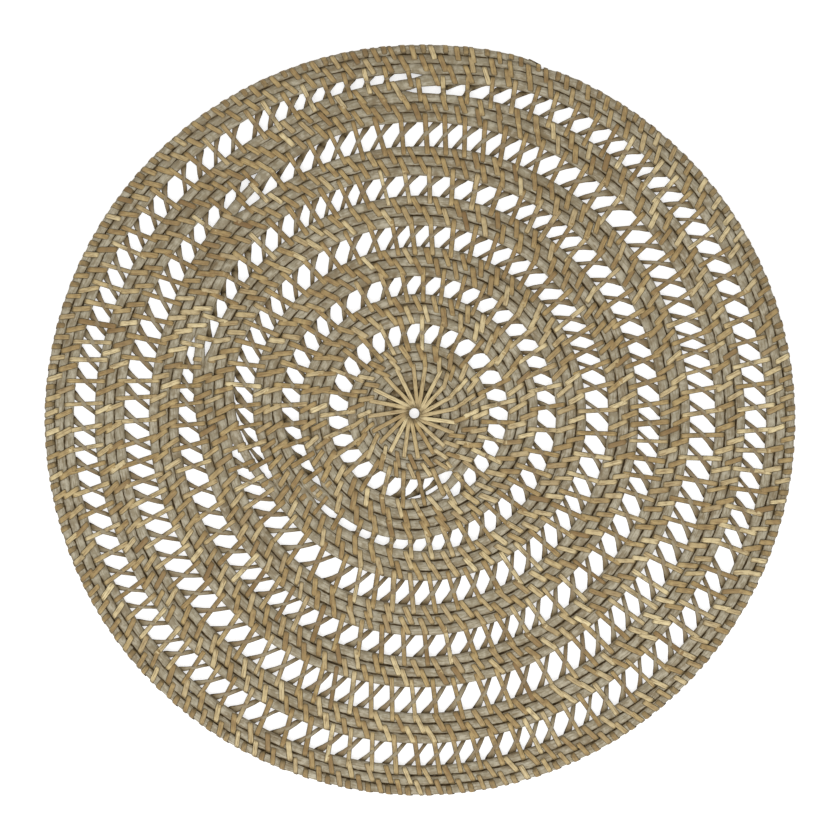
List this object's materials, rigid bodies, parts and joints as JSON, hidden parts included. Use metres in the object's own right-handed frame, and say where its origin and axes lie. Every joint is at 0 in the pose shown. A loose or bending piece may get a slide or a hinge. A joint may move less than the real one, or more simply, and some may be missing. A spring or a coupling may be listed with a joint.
{
  "type": "round rattan placemat",
  "caption": "Flat round openwork placemat of one coiled rattan rod sewn with split cane, with concentric rings of small holes between solid bands and a small eye at the middle.",
  "frame": {"origin": "middle of the mat at the surface it lies on", "axes": "+Z up out of the mat's face; +X to the right and +Y up as the mat is seen from above"},
  "size_m": [0.3809, 0.3811, 0.0056],
  "materials": {
    "rod": "matt grey-washed rattan, with brown in its grain",
    "cane": "golden split cane, faintly glossy on its outer side"
  },
  "bodies": {
    "root": {"mat": "rod"}
  },
  "joints": []
}
